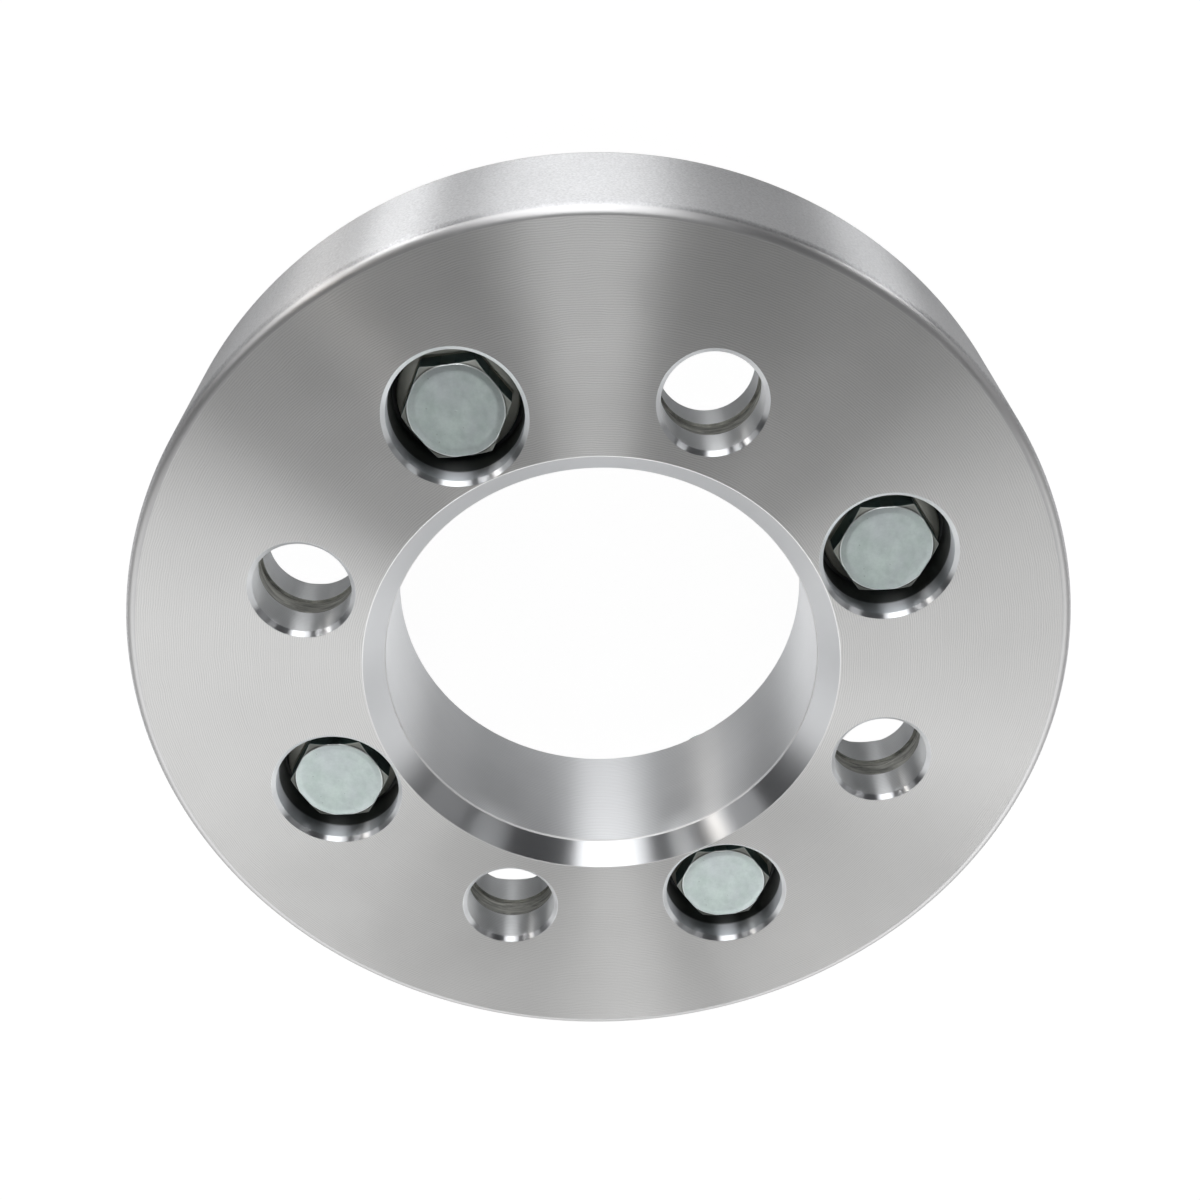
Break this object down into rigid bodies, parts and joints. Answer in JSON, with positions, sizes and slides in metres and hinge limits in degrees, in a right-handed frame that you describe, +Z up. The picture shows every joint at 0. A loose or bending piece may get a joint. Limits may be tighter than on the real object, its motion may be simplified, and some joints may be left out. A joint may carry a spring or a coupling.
{
  "type": "wheel spacer",
  "caption": "Thick turned aluminium ring that bolts to a wheel hub and carries hex-headed wheel studs, to move the wheel outwards.",
  "frame": {"origin": "middle of the plane that the four stud tips stand on, below the centre of the bore", "axes": "+Z up along the bore axis, out of the hub face; +X towards wheel_stud_1 and +Y towards wheel_stud_2"},
  "size_m": [0.153, 0.153, 0.0475],
  "materials": {
    "spacer_body": "fine turned, bare",
    "wheel_studs": "zinc plated"
  },
  "bodies": {
    "root": {"spacer_body": "spacer_body", "wheel_stud_1": "wheel_studs", "wheel_stud_2": "wheel_studs", "wheel_stud_3": "wheel_studs", "wheel_stud_4": "wheel_studs"}
  },
  "joints": []
}
